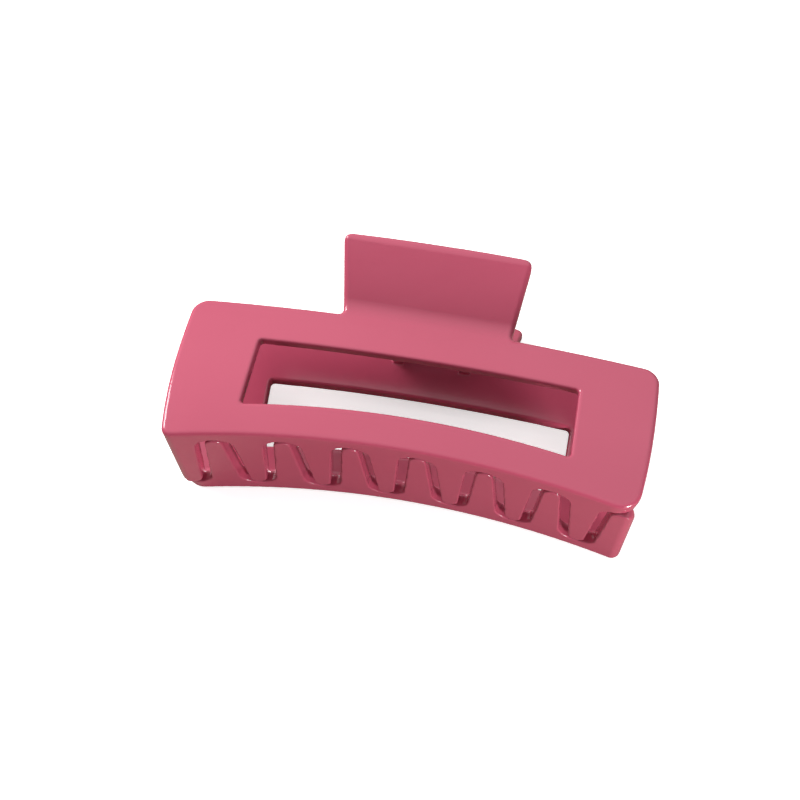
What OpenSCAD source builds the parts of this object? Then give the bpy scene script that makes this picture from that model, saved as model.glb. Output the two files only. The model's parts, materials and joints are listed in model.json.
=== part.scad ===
// Hair claw clip with two matching plastic jaws, a wire hinge pin and a torsion spring.
// The clip lies on its rear jaw, whose lower corners and press tab touch the surface below, so it
// leans by a few degrees. +X runs along the clip, +Y from the teeth to the press tabs, +Z up.
// Both jaws have the same shape, turned half a turn about Y, but the strip below the rear jaw's
// window is a little wider.

/* [Jaw face] */
// Half of the clip's length at its widest
half_length = 52.2; // [50:0.1:54]
// Height of the face at mid-length, from the crease to its top edge
face_height = 32.75; // [32:0.05:34]
// Thickness of the moulded walls
wall = 3; // [2.6:0.1:3.2]
// Half of the closed clip's depth, at the crease
half_depth = 16.9; // [16.6:0.1:17.4]
// Lean of the flat part of the face towards the hinge, in degrees
face_lean = 14; // [13:0.5:15]
// Radius of the face's curve above the crease, seen from the end
belly_radius = 62; // [58:1:66]
// Radius of the arched top edge
top_edge_radius = 530; // [450:10:650]
// Radius of the arched crease between face and teeth
crease_radius = 226; // [215:1:240]
// Radius of the bulging ends
end_radius = 190; // [160:5:230]
// Height at which the ends are widest
end_widest_y = 22; // [20:0.5:24]
// Radius of the upper outer corners
upper_corner = 3.5; // [2.5:0.1:4]
// Radius of the lower outer corner at the wide end tooth
lower_corner = 2.2; // [1.5:0.1:2.5]
// Radius of the lower outer corner at the open end of the teeth
open_corner = 5; // [4:0.1:5.5]
// Radius of the rounded crease
crease_round = 1.2; // [0.8:0.1:1.6]

/* [Window] */
// Half of the window's length
window_half_length = 35.2; // [30:0.1:38]
// Lower edge of the window at mid-length
window_low_y = 7.9; // [7:0.1:9]
// Upper edge of the window at mid-length
window_high_y = 23; // [21:0.1:23.5]
// Radius of the window's lower edge
window_low_radius = 203; // [195:1:230]
// Extra width of the strip below the rear jaw's window
rear_strip_extra = 1.6; // [0:0.1:2]
// Radius of the window's small inner corners
window_corner = 0.8; // [0.5:0.1:1.5]

/* [Teeth] */
// Spacing of the teeth on one jaw
tooth_pitch = 14.54; // [14.3:0.02:14.7]
// Teeth on each jaw
tooth_count = 7; // [7:1:7]
// Depth of the tooth tips past the middle plane
tip_depth = 12.3; // [11:0.1:12.4]
// Radius of the tooth tips
tip_radius = 1.85; // [1.6:0.05:1.95]
// Height of the valleys between the teeth above the middle plane
valley_depth = 12.9; // [12.8:0.1:13.2]
// Radius of the valleys between the teeth
valley_radius = 4.1; // [4.1:0.05:4.35]

/* [Press tab] */
// Half of the tab's width where it leaves the face
tab_half_width = 18.95; // [16:0.05:20]
// Half of the tab's width at its free end
tab_end_half_width = 21.3; // [20:0.05:22]
// Height of the tab's free end at mid-width
tab_end_y = 48.6; // [48:0.1:48.8]
// Radius of the tab's arched free end
tab_end_radius = 270; // [200:10:350]
// Outside radius of the bend between face and tab
bend_radius = 4.5; // [4:0.1:5]
// Outward slope of the tab, in degrees
tab_slope = 37; // [36:0.5:38]
// Radius of the tab's two corners
tab_corner = 2.2; // [1.5:0.1:3]
// Radius of the fillets where the tab leaves the face
tab_fillet = 1.2; // [0.8:0.1:2]

/* [Hinge] */
// Height of the hinge axis above the crease
hinge_y = 31.8; // [31.4:0.1:32.2]
// Hinge pin diameter
pin_diameter = 2.2; // [2:0.1:2.4]
// Radial play of the pin in the front jaw
pin_play = 0.08; // [0.05:0.01:0.1]
// Outside radius of the hinge lugs
lug_radius = 3.4; // [3:0.1:3.6]
// Width of each lug
lug_width = 2.4; // [2:0.1:2.4]
// Inner side of the lug beside the spring
inner_lug_x = 5.2; // [5.2:0.1:5.4]
// Inner side of the lug at the end of the pin
outer_lug_x = 8; // [8:0.1:8.4]

/* [Spring] */
// Spring wire diameter
wire = 1.2; // [1:0.05:1.25]
// Mean radius of the coil
coil_radius = 2.6; // [2.4:0.1:2.8]
// Distance between neighbouring turns
coil_pitch = 1.35; // [1.3:0.01:1.35]
// Whole turns in the coil
coil_turns = 5; // [4:1:5]
// Length of the feet at the ends of the spring's arms
foot_length = 4; // [2:0.5:5]

/* [Placement] */
// Tilt at which the clip rests on its rear jaw's corners and tab, in degrees
rest_tilt = 2.33; // [2:0.01:2.6]
// Height of the crease's middle above what the clip lies on
rest_height = 17.07; // [16.9:0.01:17.2]
// Distance from the crease to the middle of the clip's height
centre_y = 21.71; // [20:0.01:23]

/* [Hidden] */
$fn = 96;
pink = [0.80, 0.36, 0.46];
deep_pink = [0.76, 0.33, 0.43];
steel = [0.72, 0.73, 0.75];
big = 200;

// Face seen from the end: the belly's arc, the leaning flat, the bend and the tab.
// Directions are given as an angle turned from +Z towards +Y.
function aim(angle) = [sin(angle), cos(angle)];
function arc(centre, radius, from, to, steps) =
    [for (i = [0:steps]) centre + radius * aim(from + (to - from) * i / steps)];

belly_start_y = -3;
belly_centre = [belly_start_y, half_depth - belly_radius];
flat_start = belly_centre + belly_radius * aim(face_lean);
flat_end_y = face_height - 0.75;
flat_end = [flat_end_y, flat_start[1] - (flat_end_y - flat_start[0]) * tan(face_lean)];
bend_centre = flat_end + bend_radius * aim(face_lean);
tab_start = bend_centre + bend_radius * aim(180 - tab_slope);
tab_inward = aim(180 - tab_slope);
tab_along = aim(90 - tab_slope);
tab_mid_start = tab_start + wall / 2 * tab_inward;
tab_mid_end_y = tab_end_y - wall / 2;
tab_mid_end = tab_mid_start + (tab_mid_end_y - tab_mid_start[0]) / tab_along[0] * tab_along;

// Flank of a tooth: the line that touches the tip's circle and the next valley's circle.
tip_centre_z = tip_radius - tip_depth;
valley_centre_z = valley_depth - valley_radius;
row_offset = tooth_pitch / 2;
circle_gap = norm([row_offset, valley_centre_z - tip_centre_z]);
flank_angle = atan2(row_offset, valley_centre_z - tip_centre_z)
    - asin((tip_radius + valley_radius) / circle_gap);
first_tooth_x = -(tooth_count - 0.5) * tooth_pitch / 2;

// The wide end tooth: a second tip circle and an outer side that slants out to the jaw's end.
end_widening = 1;
end_slant = 20;

// Spring arms: each leaves the coil on a tangent and ends in a foot that lies along the tab.
foot_offset = wall + wire / 2 + 0.12;
foot_line = tab_start + foot_offset * tab_inward;
foot_start = foot_line + (hinge_y + 8.2 - foot_line[0]) / tab_along[0] * tab_along - [hinge_y, 0];
arm_angle = atan2(foot_start[1], foot_start[0]) - asin(coil_radius / norm(foot_start));
coil_start_x = -(inner_lug_x - wire / 2 - 0.4);
front_ring_x = coil_start_x + coil_turns * coil_pitch + wire + 0.3;
// Each piece of wire after the first is a little thinner, so that it enters the one before.
thin_wire = wire - 0.06;
tilt = atan2(coil_pitch, 2 * coil_radius);
tilted_radius = norm([coil_radius, coil_pitch / 2]);

// Centres of the arcs in the front view.
crease_centre = [0, -crease_radius];
top_centre = [0, face_height - top_edge_radius];
right_end_centre = [half_length - end_radius, end_widest_y];
window_top_radius = top_edge_radius;

// Where two circles meet: the crossing on the right-hand side.
function crossing(c1, r1, c2, r2) =
    let (gap = norm(c2 - c1))
    let (along = (gap * gap + r1 * r1 - r2 * r2) / (2 * gap))
    let (across = sqrt(r1 * r1 - along * along))
    let (dir = (c2 - c1) / gap)
    let (foot = c1 + dir * along)
    let (one = foot + across * [-dir[1], dir[0]])
    let (two = foot - across * [-dir[1], dir[0]])
    one[0] > two[0] ? one : two;

function towards(from, to) = (to - from) / norm(to - from);

// Material outside a corner circle, between the two edges it touches.
module corner_chip(centre, radius, edge1, edge2, outside) {
    difference() {
        polygon([centre, centre + edge1, outside, centre + edge2]);
        translate(centre)
            circle(radius);
    }
}

module upper_chip() {
    inner_top = top_edge_radius - upper_corner;
    inner_end = end_radius - upper_corner;
    centre = crossing(top_centre, inner_top, right_end_centre, inner_end);
    corner_chip(
        centre,
        upper_corner,
        (upper_corner + 3) * towards(top_centre, centre),
        (upper_corner + 3) * towards(right_end_centre, centre),
        centre + [upper_corner + 3, upper_corner + 3]
    );
}

module lower_chip(radius) {
    outer_crease = crease_radius + radius;
    inner_end = end_radius - radius;
    centre = crossing(crease_centre, outer_crease, right_end_centre, inner_end);
    corner_chip(
        centre,
        radius,
        -(radius + 3) * towards(crease_centre, centre),
        (radius + 3) * towards(right_end_centre, centre),
        centre + [radius + 3, -radius - 3]
    );
}

// Front view of the face without its window or tab.
module plate_outline() {
    difference() {
        intersection() {
            translate(top_centre)
                circle(top_edge_radius);
            translate(right_end_centre)
                circle(end_radius);
            mirror([1, 0])
                translate(right_end_centre)
                    circle(end_radius);
            translate([-big, -big / 4])
                square([2 * big, big]);
        }
        translate(crease_centre)
            circle(crease_radius);
        for (side = [0, 1])
            mirror([side, 0])
                upper_chip();
        lower_chip(open_corner);
        mirror([1, 0])
            lower_chip(lower_corner);
    }
}

function tab_edge_x(y) =
    tab_half_width
    + (tab_end_half_width - tab_half_width) * (y - face_height) / (tab_end_y - face_height);

// Front view of the tab, from inside the face to its arched free end.
module tab_outline() {
    foot_y = face_height - 6;
    head_y = tab_end_y + 2;
    corner_y = tab_end_y - tab_corner - pow(tab_end_half_width, 2) / (2 * tab_end_radius);
    corner_x = tab_edge_x(corner_y) - tab_corner;
    difference() {
        intersection() {
            polygon([
                [-tab_edge_x(face_height - 2), foot_y],
                [tab_edge_x(face_height - 2), foot_y],
                [tab_edge_x(face_height - 2), face_height - 2],
                [tab_edge_x(head_y), head_y],
                [-tab_edge_x(head_y), head_y],
                [-tab_edge_x(face_height - 2), face_height - 2]
            ]);
            translate([0, tab_end_y - tab_end_radius])
                circle(tab_end_radius);
        }
        for (side = [0, 1])
            mirror([side, 0])
                corner_chip(
                    [corner_x, corner_y],
                    tab_corner,
                    [tab_corner + 2, 0],
                    [0, tab_corner + 3],
                    [corner_x + tab_corner + 3, corner_y + tab_corner + 3]
                );
    }
}

// Fillets in the two inner corners between the tab and the face's top edge.
module tab_fillets() {
    fillet_x = tab_edge_x(face_height) + tab_fillet;
    fillet_y = top_centre[1] + sqrt(pow(top_edge_radius + tab_fillet, 2) - pow(fillet_x, 2));
    for (side = [0, 1])
        mirror([side, 0])
            difference() {
                translate([fillet_x - tab_fillet - 0.5, fillet_y - tab_fillet - 0.5])
                    square(tab_fillet + 0.5);
                translate([fillet_x, fillet_y])
                    circle(tab_fillet);
            }
}

module window_outline(strip_extra) {
    low = window_low_y + strip_extra - window_low_radius;
    high = window_high_y - window_top_radius;
    corner_x = window_half_length - window_corner;
    low_corner_y = low + sqrt(pow(window_low_radius + window_corner, 2) - corner_x * corner_x);
    high_corner_y = high + sqrt(pow(window_top_radius - window_corner, 2) - corner_x * corner_x);
    reach = window_corner + 1;
    difference() {
        intersection() {
            translate([-window_half_length, 0])
                square([2 * window_half_length, face_height]);
            translate([0, high])
                circle(window_top_radius);
        }
        translate([0, low])
            circle(window_low_radius);
        for (side = [0, 1])
            mirror([side, 0]) {
                corner_chip(
                    [corner_x, low_corner_y],
                    window_corner,
                    -reach * towards([0, low], [corner_x, low_corner_y]),
                    [reach, 0],
                    [corner_x + reach, low_corner_y - reach]
                );
                corner_chip(
                    [corner_x, high_corner_y],
                    window_corner,
                    reach * towards([0, high], [corner_x, high_corner_y]),
                    [reach, 0],
                    [corner_x + reach, high_corner_y + reach]
                );
            }
    }
}

// End view of the face and tab: first coordinate along Y, second along Z.
module face_profile() {
    low_y = belly_start_y - 8;
    polygon(concat(
        [[low_y, half_depth]],
        arc(belly_centre, belly_radius, 0, face_lean, 8),
        arc(bend_centre, bend_radius, 180 + face_lean, 180 - tab_slope, 8),
        arc(tab_mid_end, wall / 2, -tab_slope, 180 - tab_slope, 8),
        arc(bend_centre, bend_radius + wall, 180 - tab_slope, 180 + face_lean, 8),
        arc(belly_centre, belly_radius - wall, face_lean, 0, 8),
        [[low_y, half_depth - wall]]
    ));
}

// Sweeps an end-view shape along X, over the full width or from x to x + width.
module sweep(x, width) {
    translate([x, 0, 0])
        rotate([90, 0, 90])
            linear_extrude(width)
                children();
}

module face(strip_extra) {
    intersection() {
        sweep(-60, 120)
            face_profile();
        linear_extrude(40)
            difference() {
                union() {
                    plate_outline();
                    tab_outline();
                    tab_fillets();
                }
                window_outline(strip_extra);
            }
    }
}

// Teeth and valleys seen from the tooth side: first coordinate along X, second along Z.
// The first tooth is wide and slants out to the jaw's end; the last valley is open.
function tooth_x(i) = first_tooth_x + i * tooth_pitch;
function tip_arc(i, from) =
    arc([tooth_x(i), tip_centre_z], tip_radius, from, flank_angle - 270, 8);
function valley_arc(i, to) =
    arc([tooth_x(i + 0.5), valley_centre_z], valley_radius, flank_angle - 90, to, 10);

module comb() {
    end_tip = [tooth_x(0) - end_widening, tip_centre_z];
    end_touch = end_tip + tip_radius * aim(-90 - end_slant);
    side_x = -60;
    side_z = end_touch[1] + (end_touch[0] - side_x) / tan(end_slant);
    polygon(concat(
        [[side_x, side_z]],
        arc(end_tip, tip_radius, -90 - end_slant, -180, 5),
        tip_arc(0, -180),
        [
            for (i = [1:tooth_count - 1])
                each concat(
                    valley_arc(i - 1, 90 - flank_angle),
                    tip_arc(i, -90 - flank_angle)
                )
        ],
        valley_arc(tooth_count - 1, 0),
        [
            [-side_x, valley_depth],
            [-side_x, half_depth + 8],
            [side_x, half_depth + 8]
        ]
    ));
}

// The curved wall that carries the teeth.
module tooth_wall() {
    intersection() {
        translate([0, 0, -tip_depth - 2])
            linear_extrude(half_depth + tip_depth + 2)
                intersection() {
                    plate_outline();
                    translate(crease_centre)
                        circle(crease_radius + wall);
                }
        translate([0, 15, 0])
            rotate([90, 0, 0])
                linear_extrude(30)
                    comb();
    }
}

// Space kept by the rounded crease.
module crease_envelope() {
    translate([0, -crease_radius, -30])
        rotate_extrude()
            difference() {
                translate([crease_radius - 1, 0])
                    square([120, 60]);
                corner_chip(
                    [crease_radius + crease_round, 30 + half_depth - crease_round],
                    crease_round,
                    [-crease_round - 2, 0],
                    [0, crease_round + 2],
                    [crease_radius - 2, 32 + half_depth]
                );
            }
}

module lug(x) {
    sweep(x, lug_width) {
        translate([hinge_y, 0])
            circle(lug_radius);
        polygon([
            [hinge_y - lug_radius, 0],
            [hinge_y - 1.4, 8.9],
            [hinge_y + 5.2, 8.6],
            [hinge_y + lug_radius, 0]
        ]);
    }
}

module jaw(bore_radius, strip_extra) {
    difference() {
        union() {
            intersection() {
                union() {
                    face(strip_extra);
                    tooth_wall();
                }
                crease_envelope();
            }
            lug(inner_lug_x);
            lug(-outer_lug_x - lug_width);
        }
        sweep(-20, 40)
            translate([hinge_y, 0])
                circle(bore_radius);
    }
}

module place() {
    translate([0, -centre_y, rest_height])
        rotate([rest_tilt, 0, 0])
            children();
}

module front_jaw() {
    color(pink)
        place()
            jaw(pin_diameter / 2 + pin_play, 0);
}

module rear_jaw() {
    color(deep_pink)
        place()
            rotate([0, 180, 0])
                jaw(pin_diameter / 2 - 0.01, rear_strip_extra);
}

module hinge_pin() {
    pin_half = outer_lug_x + lug_width + 0.3;
    color(steel)
        place() {
            sweep(-pin_half - 0.7, 2 * pin_half + 1.4)
                translate([hinge_y, 0])
                    circle(pin_diameter / 2);
            for (side = [-1, 1])
                sweep(side > 0 ? pin_half : -pin_half - 0.7, 0.7)
                    translate([hinge_y, 0])
                        circle(pin_diameter / 2 + 0.6);
        }
}

// Wire bent round the X axis, from one direction of the YZ plane to another.
// The angle is turned from +Y towards +Z.
module bent_wire(radius, thickness, from, to) {
    rotate([from, 0, 0])
        rotate([90, 0, 90])
            rotate_extrude(angle = to - from)
                translate([radius, 0])
                    circle(thickness / 2);
}

// Wire from one point of the YZ plane to another.
module straight_wire(from, to) {
    translate([0, from[0], from[1]])
        rotate([atan2(to[1] - from[1], to[0] - from[0]), 0, 0])
            rotate([-90, 0, 0])
                cylinder(h = norm(to - from), r = thin_wire / 2);
}

// Arm on the +Z side, from inside the coil's wire to its foot beside the tab.
module arm() {
    leave = coil_radius * aim(-arm_angle);
    along = (foot_start - leave) / norm(foot_start - leave);
    straight_wire(leave - 0.2 * along, foot_start);
    translate([0, foot_start[0], foot_start[1]])
        sphere(wire / 2);
    straight_wire(foot_start, foot_start + foot_length * tab_along);
}

// The coil is drawn as half turns: one side square to the axis, the other side leaning
// over to the next turn.
module coil() {
    for (i = [1:coil_turns]) {
        translate([(i - 0.5) * coil_pitch, 0, 0])
            rotate([0, -tilt, 0])
                bent_wire(tilted_radius, thin_wire, -96, 96);
        translate([i * coil_pitch, 0, 0])
            bent_wire(coil_radius, wire, 90, 270);
    }
}

module torsion_spring() {
    color(steel)
        place()
            translate([coil_start_x, hinge_y, 0]) {
                bent_wire(coil_radius, wire, 90, 270 - arm_angle);
                mirror([0, 0, 1])
                    arm();
                coil();
            }
}

module spring_front_arm() {
    color(steel)
        place()
            translate([front_ring_x, hinge_y, 0]) {
                bent_wire(coil_radius, wire, 90 + arm_angle, 360 + arm_angle);
                arm();
            }
}

front_jaw();
rear_jaw();
hinge_pin();
torsion_spring();
spring_front_arm();
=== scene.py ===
"""Rectangular hair claw clip: two moulded jaws on a hinge pin with a torsion spring."""

import json
import logging
import math
from dataclasses import dataclass, field, replace
from enum import Enum

import bpy
import numpy as np
from mathutils import Matrix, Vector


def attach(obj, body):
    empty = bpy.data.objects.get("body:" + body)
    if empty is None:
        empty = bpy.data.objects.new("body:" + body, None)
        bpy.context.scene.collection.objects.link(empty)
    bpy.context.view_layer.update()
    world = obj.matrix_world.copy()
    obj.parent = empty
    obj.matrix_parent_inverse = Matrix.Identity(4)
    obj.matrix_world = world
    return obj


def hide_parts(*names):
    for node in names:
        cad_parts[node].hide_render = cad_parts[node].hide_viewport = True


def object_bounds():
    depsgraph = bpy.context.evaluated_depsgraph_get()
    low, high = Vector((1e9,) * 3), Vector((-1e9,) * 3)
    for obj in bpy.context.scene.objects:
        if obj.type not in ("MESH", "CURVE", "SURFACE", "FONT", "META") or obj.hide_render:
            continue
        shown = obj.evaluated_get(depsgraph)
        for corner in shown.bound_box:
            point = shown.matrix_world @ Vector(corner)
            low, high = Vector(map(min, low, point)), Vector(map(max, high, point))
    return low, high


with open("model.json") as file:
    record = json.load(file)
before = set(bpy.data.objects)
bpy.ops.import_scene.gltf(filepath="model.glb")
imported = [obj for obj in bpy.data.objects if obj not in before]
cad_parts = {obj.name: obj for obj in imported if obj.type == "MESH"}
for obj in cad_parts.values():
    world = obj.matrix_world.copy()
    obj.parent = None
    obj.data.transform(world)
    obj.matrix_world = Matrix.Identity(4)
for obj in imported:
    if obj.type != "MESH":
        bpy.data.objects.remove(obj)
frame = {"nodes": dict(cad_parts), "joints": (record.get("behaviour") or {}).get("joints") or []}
CAD_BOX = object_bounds()

MM = 0.001
# Tilt about the hinge axis at which the clip lies on its rear jaw.
REST_TILT = math.radians(2.33)
LOG = logging.getLogger("claw_clip")
Array = np.ndarray


class Side(Enum):
    """Which of the two jaws a piece belongs to."""

    FRONT = "front"
    REAR = "rear"


def round_max(a: Array, b: Array, radius: float | Array) -> Array:
    """Distance to the overlap of two solids whose shared edge is rounded.

    Args:
        a: signed distances to the first solid.
        b: signed distances to the second solid.
        radius: radius of the rounded edge.

    Returns:
        Signed distances to the overlap.
    """
    u = np.maximum(a + radius, 0.0)
    v = np.maximum(b + radius, 0.0)
    return np.minimum(np.maximum(a, b), -radius) + np.hypot(u, v)


def round_min(a: Array, b: Array, radius: float) -> Array:
    """Distance to two joined solids with a fillet in the corner between them.

    Args:
        a: signed distances to the first solid.
        b: signed distances to the second solid.
        radius: radius of the fillet.

    Returns:
        Signed distances to the joined solid.
    """
    return -round_max(-a, -b, radius)


def hinge_place() -> Array:
    """Middle of the hinge axis, in metres."""
    return np.array(frame["joints"][0]["pos_m"])


def settle(points: Array) -> Array:
    """Turn points about the hinge axis to the tilt at which the clip rests."""
    x, y, z = points.T
    c, s = math.cos(REST_TILT), math.sin(REST_TILT)
    return np.stack([x, c * y - s * z, s * y + c * z], 1)


def aim(angle: float) -> Array:
    """Unit vector for an angle in degrees, turned from the second axis to the first."""
    return np.array([math.sin(math.radians(angle)), math.cos(math.radians(angle))])


def arc(centre: Array, radius: float, start: float, stop: float, steps: int) -> Array:
    """Points along an arc.

    Args:
        centre: the arc's centre.
        radius: the arc's radius.
        start: first angle, in degrees as for aim.
        stop: last angle, in degrees.
        steps: number of chords.

    Returns:
        The points, one per row.
    """
    angles = np.radians(np.linspace(start, stop, steps + 1))
    return np.asarray(centre) + radius * np.stack([np.sin(angles), np.cos(angles)], 1)


def path_distance(path: Array, u: Array, v: Array) -> tuple[Array, Array]:
    """Distance from points to an open path, and the side of it that they are on.

    Args:
        path: the path's points, one per row.
        u: first coordinates of the points.
        v: second coordinates of the points.

    Returns:
        The distances, and 1 on the left of the path's direction or -1 on its right.
    """
    best = np.full(np.broadcast(u, v).shape, np.inf)
    side = np.ones_like(best)
    for (u0, v0), (u1, v1) in zip(path[:-1], path[1:], strict=True):
        du, dv = u1 - u0, v1 - v0
        t = np.clip(((u - u0) * du + (v - v0) * dv) / (du * du + dv * dv), 0.0, 1.0)
        gap = np.hypot(u - u0 - t * du, v - v0 - t * dv)
        nearer = gap < best
        turn = du * (v - v0) - dv * (u - u0)
        best = np.where(nearer, gap, best)
        side = np.where(nearer, np.where(turn >= 0, 1.0, -1.0), side)
    return best, side


def polygon_distance(points: Array, u: Array, v: Array) -> Array:
    """Signed distance to a closed polygon, negative inside.

    Args:
        points: the polygon's corners, one per row.
        u: first coordinates of the points to measure.
        v: second coordinates of the points to measure.

    Returns:
        The signed distances.
    """
    best = np.full(np.broadcast(u, v).shape, np.inf)
    inside = np.zeros(best.shape, bool)
    for (u0, v0), (u1, v1) in zip(points, np.roll(points, -1, 0), strict=True):
        du, dv = u1 - u0, v1 - v0
        t = np.clip(((u - u0) * du + (v - v0) * dv) / (du * du + dv * dv), 0.0, 1.0)
        best = np.minimum(best, np.hypot(u - u0 - t * du, v - v0 - t * dv))
        if dv != 0:
            crosses = (v0 > v) != (v1 > v)
            inside ^= crosses & (u < du * (v - v0) / dv + u0)
    return np.where(inside, -best, best)


@dataclass(frozen=True)
class JawForm:
    """Shape of one moulded jaw, in millimetres, with the crease's middle at the origin.

    X runs along the clip, Y from the teeth to the press tab, and Z from the clip's
    middle plane out to the jaw's face. A lug web's two upper corners are held as places
    along Y from the hinge and along Z.
    """

    half_length: float = 52.2
    face_height: float = 32.75
    wall: float = 3.0
    half_depth: float = 16.9
    face_lean: float = 14.0
    belly_radius: float = 62.0
    belly_start_y: float = -3.0
    top_edge_radius: float = 530.0
    crease_radius: float = 226.0
    end_radius: float = 190.0
    end_widest_y: float = 22.0
    upper_corner: float = 3.5
    lower_corner: float = 2.2
    open_corner: float = 5.0
    outer_edge: float = 1.05
    inner_edge: float = 0.9
    inner_fillet: float = 0.8
    window_half_length: float = 35.2
    window_low_y: float = 7.9
    window_high_y: float = 23.0
    window_low_radius: float = 203.0
    window_corner: float = 0.8
    window_edge: float = 0.75
    tooth_pitch: float = 14.54
    tooth_count: int = 7
    tip_depth: float = 12.3
    tip_radius: float = 1.85
    valley_depth: float = 12.9
    valley_radius: float = 4.1
    tooth_edge: float = 0.3
    end_widening: float = 1.0
    end_slant: float = 20.0
    tab_half_width: float = 18.95
    tab_end_half_width: float = 21.3
    tab_end_y: float = 48.6
    tab_end_radius: float = 270.0
    bend_drop: float = 0.75
    bend_radius: float = 4.5
    tab_slope: float = 37.0
    tab_lift: float = 0.35
    tab_corner: float = 2.2
    tab_fillet: float = 1.2
    tab_root: float = 6.0
    overrun: float = 8.0
    cut_reach: float = 60.0
    hinge_y: float = 31.8
    bore_radius: float = 1.18
    lug_radius: float = 3.4
    lug_width: float = 2.4
    inner_lug_x: float = 5.2
    outer_lug_x: float = 8.0
    lug_edge: float = 0.35
    lug_fillet: float = 0.45
    lug_skin: float = 1.2
    web_near: tuple = (-1.4, 8.9)
    web_far: tuple = (5.2, 8.6)

    def middle_line(self) -> Array:
        """Middle of the face's and tab's wall in the end view, as (y, z) points."""
        half = self.wall / 2
        lean, slope = self.face_lean, self.tab_slope
        belly = np.array([self.belly_start_y, self.half_depth - self.belly_radius])
        start = belly + self.belly_radius * aim(lean)
        end_y = self.face_height - self.bend_drop
        end = np.array([end_y, start[1] - (end_y - start[0]) * math.tan(math.radians(lean))])
        bend = end + self.bend_radius * aim(lean)
        tab = bend + (self.bend_radius + half) * aim(180 - slope)
        along = aim(90 - slope)
        tip = tab + (self.tab_end_y - half - tab[0]) / along[0] * along
        return np.concatenate([
            [[self.belly_start_y - self.overrun, self.half_depth - half]],
            arc(belly, self.belly_radius - half, 0, lean, 16),
            arc(bend, self.bend_radius + half, 180 + lean, 180 - slope, 24),
            [tip],
        ])

    def tooth_x(self, index: float) -> float:
        """Place of a tooth along the jaw, counted from the wide end tooth."""
        return (index - (self.tooth_count - 0.5) / 2) * self.tooth_pitch

    def comb_outline(self) -> Array:
        """Outline of the teeth and valleys from the tooth side, as (x, z) points."""
        tip_z = self.tip_radius - self.tip_depth
        valley_z = self.valley_depth - self.valley_radius
        offset = self.tooth_pitch / 2
        gap = math.hypot(offset, valley_z - tip_z)
        flank = math.degrees(
            math.atan2(offset, valley_z - tip_z)
            - math.asin((self.tip_radius + self.valley_radius) / gap)
        )
        wide_tip = np.array([self.tooth_x(0) - self.end_widening, tip_z])
        touch = wide_tip + self.tip_radius * aim(-90 - self.end_slant)
        side_x, top_z = -self.cut_reach, self.half_depth + self.overrun
        side_z = touch[1] + (touch[0] - side_x) / math.tan(math.radians(self.end_slant))
        runs = [
            [[side_x, side_z]],
            arc(wide_tip, self.tip_radius, -90 - self.end_slant, -180, 8),
            arc([self.tooth_x(0), tip_z], self.tip_radius, -180, flank - 270, 8),
        ]
        for i in range(1, self.tooth_count):
            valley = [self.tooth_x(i - 0.5), valley_z]
            runs.append(arc(valley, self.valley_radius, flank - 90, 90 - flank, 18))
            tip = [self.tooth_x(i), tip_z]
            runs.append(arc(tip, self.tip_radius, -90 - flank, flank - 270, 14))
        last = [self.tooth_x(self.tooth_count - 0.5), valley_z]
        runs.append(arc(last, self.valley_radius, flank - 90, 0, 9))
        runs.append([[-side_x, self.valley_depth], [-side_x, top_z], [side_x, top_z]])
        return np.concatenate(runs)

    def plan_maps(self, x: Array, y: Array) -> dict[str, Array]:
        """Signed distances that depend on the front view alone.

        Args:
            x: places along the clip.
            y: heights above the crease.

        Returns:
            Distances to the jaw's outline, its window and the arched crease.
        """
        crease = np.hypot(x, y + self.crease_radius) - self.crease_radius
        top = np.hypot(x, y - self.face_height + self.top_edge_radius) - self.top_edge_radius
        end_x = self.half_length - self.end_radius
        bulge = np.hypot(np.abs(x) - end_x, y - self.end_widest_y) - self.end_radius
        corner = np.where(x > 0, self.open_corner, self.lower_corner)
        plate = round_max(round_max(top, bulge, self.upper_corner), -crease, corner)
        flare = (self.tab_end_half_width - self.tab_half_width) / (
            self.tab_end_y - self.face_height
        )
        tab_side = np.abs(x) - self.tab_half_width - flare * (y - self.face_height)
        tab_side = tab_side / math.hypot(1, flare)
        tab_centre = self.tab_end_y + self.tab_lift - self.tab_end_radius
        tab_end = np.hypot(x, y - tab_centre) - self.tab_end_radius
        tab = round_max(tab_side, tab_end, self.tab_corner)
        tab = np.maximum(tab, self.face_height - self.tab_root - y)
        low = np.hypot(x, y - self.window_low_y + self.window_low_radius)
        high = np.hypot(x, y - self.window_high_y + self.top_edge_radius)
        window = round_max(
            np.abs(x) - self.window_half_length,
            np.maximum(self.window_low_radius - low, high - self.top_edge_radius),
            self.window_corner,
        )
        return {
            "outline": round_min(plate, tab, self.tab_fillet),
            "window": window,
            "rise": crease,
        }

    def profile_maps(self, y: Array, z: Array) -> dict[str, Array]:
        """Signed distances that depend on the end view alone.

        Args:
            y: heights above the crease.
            z: distances out from the clip's middle plane.

        Returns:
            Distances to the wall's middle, outward positive, the lugs and their bore.
        """
        gap, side = path_distance(self.middle_line(), y, z)
        hinge = np.hypot(y - self.hinge_y, z)
        web = np.array([
            [self.hinge_y - self.lug_radius, 0.0],
            [self.hinge_y + self.web_near[0], self.web_near[1]],
            [self.hinge_y + self.web_far[0], self.web_far[1]],
            [self.hinge_y + self.lug_radius, 0.0],
        ])
        return {
            "level": gap * side,
            "lug": np.minimum(hinge - self.lug_radius, polygon_distance(web, y, z)),
            "bore": hinge - self.bore_radius,
        }

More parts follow.
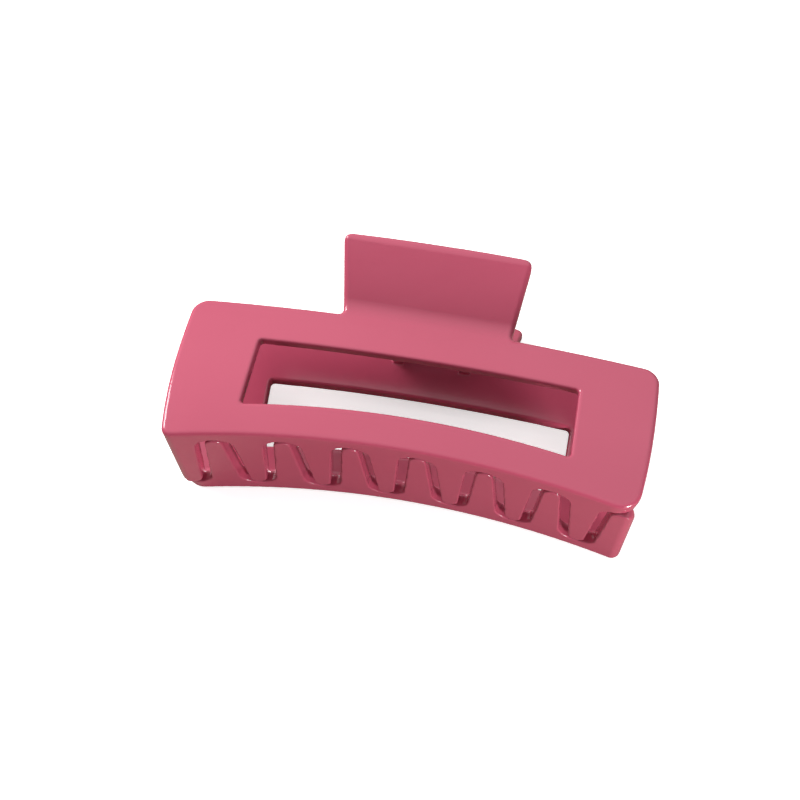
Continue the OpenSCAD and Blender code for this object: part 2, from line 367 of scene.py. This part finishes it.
    def combine(self, x: Array, plan: dict, profile: dict, comb: Array) -> Array:
        """Signed distance to the whole jaw from its separate maps.

        Args:
            x: places along the clip.
            plan: distances from plan_maps.
            profile: distances from profile_maps.
            comb: distances to the comb's outline.

        Returns:
            Signed distances, negative inside the plastic.
        """
        half = self.wall / 2
        level, rise = profile["level"], plan["rise"]
        shell = round_max(level - half, plan["outline"], self.outer_edge)
        hollow = round_max(level + half, self.wall - rise, self.inner_fillet)
        body = round_max(shell, -hollow, self.inner_edge)
        teeth = np.minimum(comb, self.wall + self.tooth_edge - rise)
        body = round_max(body, teeth, self.tooth_edge)
        body = round_max(body, -plan["window"], self.window_edge)
        for centre in (
            self.inner_lug_x + self.lug_width / 2,
            -self.outer_lug_x - self.lug_width / 2,
        ):
            slice_x = np.abs(x - centre) - self.lug_width / 2
            lug = round_max(profile["lug"], slice_x, self.lug_edge)
            lug = np.maximum(lug, level - half + self.lug_skin)
            body = round_min(body, lug, self.lug_fillet)
        return np.maximum(body, -profile["bore"])

    def distance(self, points: Array) -> Array:
        """Signed distance at scattered points, one (x, y, z) per row."""
        x, y, z = points.T
        comb = polygon_distance(self.comb_outline(), x, z)
        return self.combine(x, self.plan_maps(x, y), self.profile_maps(y, z), comb)

    def lattice(self, x: Array, y: Array, z: Array) -> Array:
        """Signed distance at every corner of a regular lattice.

        Args:
            x: the lattice's places along X.
            y: the lattice's places along Y.
            z: the lattice's places along Z.

        Returns:
            The distances, indexed by x, y and z.
        """
        plan = self.plan_maps(x[:, None], y[None, :])
        profile = self.profile_maps(y[:, None], z[None, :])
        comb = polygon_distance(self.comb_outline(), x[:, None], z[None, :])
        return self.combine(
            x[:, None, None],
            {k: v[:, :, None] for k, v in plan.items()},
            {k: v[None, :, :] for k, v in profile.items()},
            comb[:, None, :],
        )


@dataclass(frozen=True)
class SkinMesher:
    """Wraps a smooth quad skin round a solid that is given as signed distances."""

    low: tuple = (-54.0, -8.0, -14.5)
    high: tuple = (54.1, 51.0, 19.5)
    step: float = 0.42
    settle_rounds: int = 4
    longest_move: float = 0.3
    least_slope: float = 0.2
    probe: float = 0.02

    def skin(self, form: JawForm) -> tuple[Array, Array, Array]:
        """Build the skin of a jaw.

        Args:
            form: the jaw's shape.

        Returns:
            Vertices and normals, one (x, y, z) per row, and quads of vertex numbers.
        """
        sides = zip(self.low, self.high, strict=True)
        values = form.lattice(*[np.arange(low, high, self.step) for low, high in sides])
        cells, quads = self.net(values)
        points = np.array(self.low) + cells * self.step
        for _ in range(self.settle_rounds):
            gap, slope = self.slope(form, points)
            move = gap / np.maximum((slope**2).sum(1), self.least_slope)
            move = np.clip(move, -self.longest_move, self.longest_move)
            points = points - slope * move[:, None]
        slope = self.slope(form, points)[1]
        return points, slope / np.linalg.norm(slope, axis=1)[:, None], quads

    def slope(self, form: JawForm, points: Array) -> tuple[Array, Array]:
        """Distance and its gradient at scattered points.

        Args:
            form: the jaw's shape.
            points: where to measure, one (x, y, z) per row.

        Returns:
            The distances, and the gradients one per row.
        """
        here = form.distance(points)
        grads = [
            (form.distance(points + self.probe * axis) - here) / self.probe
            for axis in np.eye(3)
        ]
        return here, np.stack(grads, 1)

    def net(self, values: Array) -> tuple[Array, Array]:
        """Join the lattice cells that the surface passes through.

        Args:
            values: signed distances at the lattice's corners.

        Returns:
            One point per crossed cell, in lattice steps, and quads of point numbers.
        """
        inside = values < 0
        shape = tuple(n - 1 for n in values.shape)
        corners = [(a, b, c) for a in (0, 1) for b in (0, 1) for c in (0, 1)]
        count = sum(
            inside[a : a + shape[0], b : b + shape[1], c : c + shape[2]].astype(np.int8)
            for a, b, c in corners
        )
        cells = np.argwhere((count > 0) & (count < 8))
        total = np.zeros(cells.shape)
        hits = np.zeros(len(cells))
        for low in corners:
            for axis in range(3):
                if low[axis]:
                    continue
                high = tuple(v + (n == axis) for n, v in enumerate(low))
                near = values[tuple((cells + low).T)]
                far = values[tuple((cells + high).T)]
                cut = (near < 0) != (far < 0)
                share = near[cut] / (near[cut] - far[cut])
                total[cut] += np.array(low)
                total[cut, axis] += share
                hits[cut] += 1
        number = np.full(shape, -1)
        number[tuple(cells.T)] = np.arange(len(cells))
        quads = []
        for axis in range(3):
            one, two = (axis + 1) % 3, (axis + 2) % 3
            near = np.take(inside, np.arange(values.shape[axis] - 1), axis)
            far = np.take(inside, np.arange(1, values.shape[axis]), axis)
            edges = np.argwhere(near != far)
            keep = (edges[:, one] > 0) & (edges[:, two] > 0)
            keep &= (edges[:, one] < shape[one]) & (edges[:, two] < shape[two])
            edges = edges[keep]
            ring = []
            for back_one, back_two in ((1, 1), (0, 1), (0, 0), (1, 0)):
                cell = edges.copy()
                cell[:, one] -= back_one
                cell[:, two] -= back_two
                ring.append(number[tuple(cell.T)])
            quad = np.stack(ring, 1)
            flip = ~near[tuple(edges.T)]
            quad[flip] = quad[flip][:, ::-1]
            quads.append(quad)
        return cells + total / hits[:, None], np.concatenate(quads)


def make_piece(name: str, vertices: Array, faces: Array, normals: Array | None) -> bpy.types.Object:
    """Make a smooth-shaded mesh object.

    Args:
        name: the object's name.
        vertices: positions in metres, one per row.
        faces: vertex numbers, one face per row.
        normals: shading normals for the vertices, or None for Blender's own.

    Returns:
        The new object, linked to the scene.
    """
    mesh = bpy.data.meshes.new(name)
    mesh.from_pydata(vertices.tolist(), [], faces.tolist())
    mesh.shade_smooth()
    if normals is not None:
        mesh.normals_split_custom_set_from_vertices(normals.tolist())
    mesh.update()
    piece = bpy.data.objects.new(name, mesh)
    bpy.context.scene.collection.objects.link(piece)
    return piece


class NodePen:
    """Adds and joins shader nodes in one material."""

    def __init__(self, name: str) -> None:
        """Start a material with an empty node tree and an output."""
        self.material = bpy.data.materials.new(name)
        self.material.use_nodes = True
        self.tree = self.material.node_tree
        self.tree.nodes.clear()
        self.shader = self.add("ShaderNodeBsdfPrincipled")
        output = self.add("ShaderNodeOutputMaterial")
        self.join(self.shader, "BSDF", output, "Surface")
        self.place = self.add("ShaderNodeTexCoord")

    def add(self, kind: str, **settings: object) -> bpy.types.Node:
        """Add a node.

        Args:
            kind: Blender's node type.
            settings: attributes to set on it.

        Returns:
            The new node.
        """
        node = self.tree.nodes.new(kind)
        for key, value in settings.items():
            setattr(node, key, value)
        return node

    def join(self, source: bpy.types.Node, out: str, target: bpy.types.Node, into: str) -> None:
        """Join one node's output to another's input.

        Args:
            source: the node that gives.
            out: its output's name.
            target: the node that takes.
            into: its input's name.
        """
        self.tree.links.new(source.outputs[out], target.inputs[into])

    def noise(self, scale: float, detail: float, stretch: tuple = (1, 1, 1)) -> bpy.types.Node:
        """Add noise in the object's own metres.

        Args:
            scale: features per metre.
            detail: how many finer layers are added.
            stretch: scale factors along X, Y and Z.

        Returns:
            The noise node.
        """
        mapping = self.add("ShaderNodeMapping")
        mapping.inputs["Scale"].default_value = stretch
        self.join(self.place, "Object", mapping, "Vector")
        node = self.add("ShaderNodeTexNoise")
        node.inputs["Scale"].default_value = scale
        node.inputs["Detail"].default_value = detail
        self.join(mapping, "Vector", node, "Vector")
        return node

    def remap(self, source: bpy.types.Node, out: str, span: tuple, onto: tuple) -> bpy.types.Node:
        """Map one range of values onto another.

        Args:
            source: the node that gives the values.
            out: its output's name.
            span: lowest and highest incoming value.
            onto: the values that those become.

        Returns:
            The Map Range node.
        """
        node = self.add("ShaderNodeMapRange")
        node.inputs["From Min"].default_value = span[0]
        node.inputs["From Max"].default_value = span[1]
        node.inputs["To Min"].default_value = onto[0]
        node.inputs["To Max"].default_value = onto[1]
        self.join(source, out, node, "Value")
        return node

    def mix(self, first: tuple, second: tuple) -> bpy.types.Node:
        """Add a blend between two colours.

        Args:
            first: the colour at factor 0.
            second: the colour at factor 1.

        Returns:
            The Mix node.
        """
        node = self.add("ShaderNodeMix", data_type="RGBA")
        node.inputs["A"].default_value = (*first, 1)
        node.inputs["B"].default_value = (*second, 1)
        return node

    def bump(
        self,
        height: bpy.types.Node,
        out: str,
        depth: float,
        under: bpy.types.Node | None = None,
    ) -> bpy.types.Node:
        """Add a bump layer.

        Args:
            height: the node that gives the height.
            out: its output's name.
            depth: height of the relief in metres.
            under: a bump that this one lies on.

        Returns:
            The Bump node.
        """
        node = self.add("ShaderNodeBump")
        node.inputs["Strength"].default_value = 1.0
        node.inputs["Distance"].default_value = depth
        self.join(height, out, node, "Height")
        if under is not None:
            self.join(under, "Normal", node, "Normal")
        return node


@dataclass(frozen=True)
class GlossPlastic:
    """Glossy moulded plastic, coloured right through."""

    name: str = "pink_gloss_plastic"
    colour: tuple = (0.39, 0.056, 0.104)
    paler: tuple = (0.41, 0.067, 0.116)
    flow_scale: float = 26.0
    haze_scale: float = 60.0
    roughness: tuple = (0.16, 0.27)
    peel_scale: float = 170.0
    peel_depth: float = 0.00006
    speck_scale: float = 330.0
    speck_span: tuple = (0.04, 0.13)
    speck_depth: float = 0.000012
    ior: float = 1.5
    coat: float = 0.1
    coat_roughness: float = 0.06

    def make(self) -> bpy.types.Material:
        """Build the material with its flow tint, orange peel, specks and handling marks."""
        pen = NodePen(self.name)
        flow = pen.noise(self.flow_scale, 3, (0.5, 1, 1))
        tint = pen.mix(self.colour, self.paler)
        share = pen.remap(flow, "Fac", (0.3, 0.7), (0, 1))
        pen.join(share, "Result", tint, "Factor")
        pen.join(tint, "Result", pen.shader, "Base Color")
        haze = pen.noise(self.haze_scale, 6)
        rough = pen.remap(haze, "Fac", (0.35, 0.7), self.roughness)
        pen.join(rough, "Result", pen.shader, "Roughness")
        peel = pen.bump(pen.noise(self.peel_scale, 2), "Fac", self.peel_depth)
        specks = pen.add("ShaderNodeTexVoronoi", feature="F1")
        specks.inputs["Scale"].default_value = self.speck_scale
        pen.join(pen.place, "Object", specks, "Vector")
        dots = pen.remap(specks, "Distance", self.speck_span, (1, 0))
        grit = pen.bump(dots, "Result", self.speck_depth, peel)
        pen.join(grit, "Normal", pen.shader, "Normal")
        pen.shader.inputs["IOR"].default_value = self.ior
        pen.shader.inputs["Coat Weight"].default_value = self.coat
        pen.shader.inputs["Coat Roughness"].default_value = self.coat_roughness
        return pen.material


@dataclass(frozen=True)
class DrawnWire:
    """Bright drawn steel wire with fine lines along it."""

    name: str = "drawn_steel_wire"
    colour: tuple = (0.58, 0.58, 0.6)
    stained: tuple = (0.4, 0.38, 0.36)
    roughness: tuple = (0.22, 0.4)
    line_depth: float = 0.00001

    def make(self) -> bpy.types.Material:
        """Build the material with die lines, a slight stain and uneven gloss."""
        pen = NodePen(self.name)
        pen.shader.inputs["Metallic"].default_value = 1.0
        stain = pen.noise(420, 4)
        tint = pen.mix(self.colour, self.stained)
        share = pen.remap(stain, "Fac", (0.5, 0.8), (0, 0.6))
        pen.join(share, "Result", tint, "Factor")
        pen.join(tint, "Result", pen.shader, "Base Color")
        rough = pen.remap(pen.noise(900, 3), "Fac", (0.3, 0.7), self.roughness)
        pen.join(rough, "Result", pen.shader, "Roughness")
        lines = pen.bump(pen.noise(5200, 2, (1, 0.15, 0.15)), "Fac", self.line_depth)
        pen.join(lines, "Normal", pen.shader, "Normal")
        return pen.material


@dataclass(frozen=True)
class PaleFloor:
    """Pale floor that glows a little to the camera and throws a darker tint at the clip."""

    name: str = "studio_floor"
    seen: tuple = (0.93, 0.93, 0.93)
    clouded: tuple = (0.92, 0.92, 0.92)
    thrown: tuple = (0.32, 0.21, 0.19)
    glow: float = 0.55

    def make(self) -> bpy.types.Material:
        """Build the material, with one colour for camera rays and one for all others."""
        pen = NodePen(self.name)
        cloud = pen.noise(14, 2)
        tint = pen.mix(self.seen, self.clouded)
        pen.join(cloud, "Fac", tint, "Factor")
        path = pen.add("ShaderNodeLightPath")
        choice = pen.mix(self.thrown, self.seen)
        pen.join(path, "Is Camera Ray", choice, "Factor")
        pen.join(tint, "Result", choice, "B")
        pen.join(choice, "Result", pen.shader, "Base Color")
        glow = pen.remap(path, "Is Camera Ray", (0, 1), (0, self.glow))
        pen.join(glow, "Result", pen.shader, "Emission Strength")
        pen.shader.inputs["Emission Color"].default_value = (1, 1, 1, 1)
        pen.shader.inputs["Roughness"].default_value = 0.8
        pen.shader.inputs["Specular IOR Level"].default_value = 0.1
        return pen.material


@dataclass
class Jaws:
    """The two jaws: one shape, half a turn apart, with a wider strip on the rear one."""

    form: JawForm = field(default_factory=JawForm)
    rear_strip_extra: float = 1.6
    mesher: SkinMesher = field(default_factory=SkinMesher)
    finish: GlossPlastic = field(default_factory=GlossPlastic)

    def rear_form(self) -> JawForm:
        """Shape of the rear jaw, whose strip below the window is wider."""
        low = self.form.window_low_y + self.rear_strip_extra
        return replace(self.form, window_low_y=low)

    def build(self) -> list[bpy.types.Object]:
        """Build and dress both jaws.

        Returns:
            The front jaw and the rear jaw.
        """
        hinge = hinge_place()
        material = self.finish.make()
        pieces = []
        for side in Side:
            form = self.form
            turn = np.array([1.0, 1.0, 1.0])
            if side is Side.REAR:
                form = self.rear_form()
                turn = np.array([-1.0, 1.0, -1.0])
            points, normals, quads = self.mesher.skin(form)
            points = points - np.array([0.0, form.hinge_y, 0.0])
            piece = make_piece(
                f"{side.value}_jaw_moulding",
                hinge + settle(points * turn) * MM,
                quads,
                settle(normals * turn),
            )
            piece.data.materials.append(material)
            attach(piece, f"{side.value}_half")
            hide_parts(f"{side.value}_jaw")
            pieces.append(piece)
        return pieces


@dataclass
class HingeHardware:
    """The pin and the torsion spring, with the hinge axis at the origin, in millimetres."""

    form: JawForm = field(default_factory=JawForm)
    wire: float = 1.2
    coil_radius: float = 2.6
    coil_pitch: float = 1.35
    coil_turns: int = 5
    foot_length: float = 4.0
    foot_gap: float = 0.12
    foot_y: float = 8.2
    knee_reach: float = 1.1
    lug_gap: float = 0.4
    turn_gap: float = 0.3
    dome: float = 0.12
    dome_share: float = 0.72
    sides: int = 20
    rim_wear: float = 0.0002
    finish: DrawnWire = field(default_factory=DrawnWire)

    def foot(self) -> tuple[Array, Array]:
        """Start of the arm's foot beside the front tab and its direction, as (y, z)."""
        form = self.form
        line = form.middle_line()
        along = aim(90 - form.tab_slope)
        inward = aim(180 - form.tab_slope)
        offset = form.wall / 2 + self.wire / 2 + self.foot_gap
        base = line[-2] + offset * inward - np.array([form.hinge_y, 0.0])
        return base + (self.foot_y - base[0]) / along[0] * along, along

    def arm_path(self) -> Array:
        """Front arm from its foot's end to the coil, as (y, z) points with a soft knee."""
        start, along = self.foot()
        leave = self.coil_radius * aim(-self.arm_lean())
        toward = (leave - start) / np.linalg.norm(leave - start)
        bend = self.knee_reach
        shares = np.linspace(0, 1, 9)[:, None]
        before, after = start + bend * along, start + bend * toward
        knee = (1 - shares) ** 2 * before + 2 * shares * (1 - shares) * start
        knee = knee + shares**2 * after
        tip = start + self.foot_length * along
        run = leave - after
        straight = after + np.linspace(0.1, 0.97, 8)[:, None] * run
        return np.concatenate([[tip], [tip - 0.5 * along], knee, straight])

    def arm_lean(self) -> float:
        """Angle of the front arm from the middle plane, in degrees."""
        start, _ = self.foot()
        return math.degrees(
            math.atan2(start[1], start[0])
            - math.asin(self.coil_radius / float(np.hypot(*start)))
        )

    def coil_start(self) -> float:
        """Place of the coil's first turn along the pin."""
        return -(self.form.inner_lug_x - self.wire / 2 - self.lug_gap)

    def coil_path(self) -> Array:
        """The coil with its rear arm, as (x, y, z) points."""
        lean = self.arm_lean()
        sweep = 180 - lean + 360 * self.coil_turns
        angles = np.radians(np.linspace(270 - lean, 270 - lean - sweep, 40 * self.coil_turns))
        start_x = self.coil_start()
        x = start_x + np.linspace(0, self.coil_turns * self.coil_pitch, len(angles))
        ring = np.stack(
            [x, self.coil_radius * np.cos(angles), self.coil_radius * np.sin(angles)], 1
        )
        arm = self.arm_path()
        lead = np.stack([np.full(len(arm), start_x), arm[:, 0], -arm[:, 1]], 1)
        return np.concatenate([lead, ring])

    def front_path(self) -> Array:
        """The front arm with its last turn, as (x, y, z) points."""
        lean = self.arm_lean()
        angles = np.radians(np.linspace(90 + lean, 360 + lean, 36))
        coil_length = self.coil_turns * self.coil_pitch
        x = self.coil_start() + coil_length + self.wire + self.turn_gap
        ring = np.stack(
            [
                np.full(len(angles), x),
                self.coil_radius * np.cos(angles),
                self.coil_radius * np.sin(angles),
            ],
            1,
        )
        arm = self.arm_path()
        lead = np.stack([np.full(len(arm), x), arm[:, 0], arm[:, 1]], 1)
        return np.concatenate([lead, ring])

    def tube(self, name: str, path: Array) -> bpy.types.Object:
        """Make round wire along a path, with slightly domed cut ends.

        Args:
            name: the piece's name.
            path: the wire's middle line, in millimetres from the hinge axis.

        Returns:
            The new object.
        """
        tangent = np.gradient(path, axis=0)
        tangent /= np.linalg.norm(tangent, axis=1)[:, None]
        side = np.array([1.0, 0.0, 0.0]) - tangent * tangent[:, :1]
        side /= np.linalg.norm(side, axis=1)[:, None]
        up = np.cross(tangent, side)
        radii = np.full(len(path), self.wire / 2)
        head = path[0] - tangent[0] * self.dome
        tail = path[-1] + tangent[-1] * self.dome
        path = np.concatenate([[head], path, [tail]])
        end_radius = self.dome_share * self.wire / 2
        radii = np.concatenate([[end_radius], radii, [end_radius]])
        side = np.concatenate([side[:1], side, side[-1:]])
        up = np.concatenate([up[:1], up, up[-1:]])
        turn = np.linspace(0, 2 * math.pi, self.sides, endpoint=False)
        ring = np.cos(turn)[None, :, None] * side[:, None]
        ring = ring + np.sin(turn)[None, :, None] * up[:, None]
        vertices = (path[:, None] + radii[:, None, None] * ring).reshape(-1, 3)
        faces = []
        for i in range(len(path) - 1):
            for j in range(self.sides):
                k = (j + 1) % self.sides
                faces.append([
                    i * self.sides + j,
                    i * self.sides + k,
                    (i + 1) * self.sides + k,
                    (i + 1) * self.sides + j,
                ])
        last = (len(path) - 1) * self.sides
        mesh = bpy.data.meshes.new(name)
        caps = [list(range(self.sides))[::-1], [last + j for j in range(self.sides)]]
        places = hinge_place() + settle(vertices) * MM
        mesh.from_pydata(places.tolist(), [], faces + caps)
        mesh.shade_smooth()
        piece = bpy.data.objects.new(name, mesh)
        bpy.context.scene.collection.objects.link(piece)
        return piece

    def build(self) -> list[bpy.types.Object]:
        """Build and dress the spring's two pieces and dress the pin.

        Returns:
            The new pieces.
        """
        steel = self.finish.make()
        coil = self.tube("spring_coil_wire", self.coil_path())
        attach(coil, "rear_half")
        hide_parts("torsion_spring")
        arm = self.tube("spring_front_wire", self.front_path())
        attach(arm, "front_half")
        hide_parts("spring_front_arm")
        for piece in (coil, arm):
            piece.data.materials.append(steel)
        pin = frame["nodes"]["hinge_pin"]
        pin.data.materials.clear()
        pin.data.materials.append(steel)
        soften = pin.modifiers.new("worn_rim", "BEVEL")
        soften.width = self.rim_wear
        soften.segments = 3
        soften.limit_method = "ANGLE"
        return [coil, arm]


@dataclass
class Studio:
    """Pale floor, soft lights and the camera."""

    floor_size: float = 3.0
    sky_axis: tuple = (-0.15, 0.4, 0.9)
    sky_span: tuple = (-0.1, 0.95)
    sky_glow: tuple = (0.1, 1.13)
    camera_place: tuple = (0.02424, -0.134841, 0.302117)
    camera_right: tuple = (0.98328, 0.18168, -0.0123)
    camera_down: tuple = (0.15921, -0.89052, -0.42617)
    camera_ahead: tuple = (-0.08839, 0.41709, -0.90456)
    lens: float = 63.05
    sensor: float = 36.0

    def build(self) -> None:
        """Set up everything round the clip."""
        self.floor()
        self.lights()
        self.camera()
        bpy.context.scene.view_settings.view_transform = "Standard"

    def floor(self) -> None:
        """Lay the floor just under the clip."""
        half = self.floor_size / 2
        z = CAD_BOX[0].z
        plan = [(-half, -half), (half, -half), (half, half), (-half, half)]
        corners = np.array([(x, y, z) for x, y in plan])
        piece = make_piece("studio_floor", corners, np.array([[0, 1, 2, 3]]), None)
        piece.data.materials.append(PaleFloor().make())

    def lights(self) -> None:
        """Make the sky brightest overhead and behind, and hang three soft boxes.

        The key light is at the left, the low one lights the teeth from the right, and the
        far card gives the press tab a faint reflection.
        """
        world = bpy.data.worlds.new("studio")
        world.use_nodes = True
        tree = world.node_tree
        sky = tree.nodes["Background"]
        sky.inputs["Color"].default_value = (1, 1, 1, 1)
        place = tree.nodes.new("ShaderNodeTexCoord")
        facing = tree.nodes.new("ShaderNodeVectorMath")
        facing.operation = "DOT_PRODUCT"
        facing.inputs[1].default_value = self.sky_axis
        tree.links.new(place.outputs["Generated"], facing.inputs[0])
        ramp = tree.nodes.new("ShaderNodeMapRange")
        ramp.interpolation_type = "SMOOTHSTEP"
        ramp.inputs["From Min"].default_value = self.sky_span[0]
        ramp.inputs["From Max"].default_value = self.sky_span[1]
        ramp.inputs["To Min"].default_value = self.sky_glow[0]
        ramp.inputs["To Max"].default_value = self.sky_glow[1]
        tree.links.new(facing.outputs["Value"], ramp.inputs["Value"])
        tree.links.new(ramp.outputs["Result"], sky.inputs["Strength"])
        bpy.context.scene.world = world
        self.soft_box("key_light", (-0.33, 0.1, 0.27), 0.2, 2.1)
        self.soft_box("low_light", (0.2, -0.2, 0.035), 0.05, 0.7)
        self.soft_box("window_card", (-0.11, -0.68, 0.76), 0.075, 0.014)

    def soft_box(self, name: str, place: tuple, size: float, power: float) -> None:
        """Hang one square light that faces the clip.

        Args:
            name: the light's name.
            place: where it hangs, in metres.
            size: its side, in metres.
            power: its power, in watts.
        """
        data = bpy.data.lights.new(name, "AREA")
        data.size = size
        data.energy = power
        lamp = bpy.data.objects.new(name, data)
        bpy.context.scene.collection.objects.link(lamp)
        lamp.location = place
        toward = -np.array(place) / np.linalg.norm(place)
        lamp.rotation_euler = Matrix(self.facing(toward)).to_euler()

    @staticmethod
    def facing(toward: Array) -> list:
        """Rotation rows that point a light's -Z along a direction."""
        back = -toward
        side = np.cross([0.0, 0.0, 1.0], back)
        side /= np.linalg.norm(side)
        up = np.cross(back, side)
        return np.stack([side, up, back], 1).tolist()

    def camera(self) -> None:
        """Place the camera in front of the teeth, well above the clip."""
        data = bpy.data.cameras.new("camera")
        data.lens = self.lens
        data.sensor_width = self.sensor
        data.clip_start = 0.01
        eye = bpy.data.objects.new("camera", data)
        bpy.context.scene.collection.objects.link(eye)
        back = -np.array(self.camera_ahead)
        up = -np.array(self.camera_down)
        turn = np.stack([np.array(self.camera_right), up, back], 1)
        eye.matrix_world = Matrix.Translation(self.camera_place) @ Matrix(turn.tolist()).to_4x4()
        bpy.context.scene.camera = eye


def main() -> None:
    """Build the clip and its studio, and report each piece."""
    logging.basicConfig(level=logging.INFO, format="%(message)s")
    for assembly in (Jaws(), HingeHardware()):
        for piece in assembly.build():
            LOG.info("%s: %d faces", piece.name, len(piece.data.polygons))
    Studio().build()


if __name__ == "__main__":
    main()
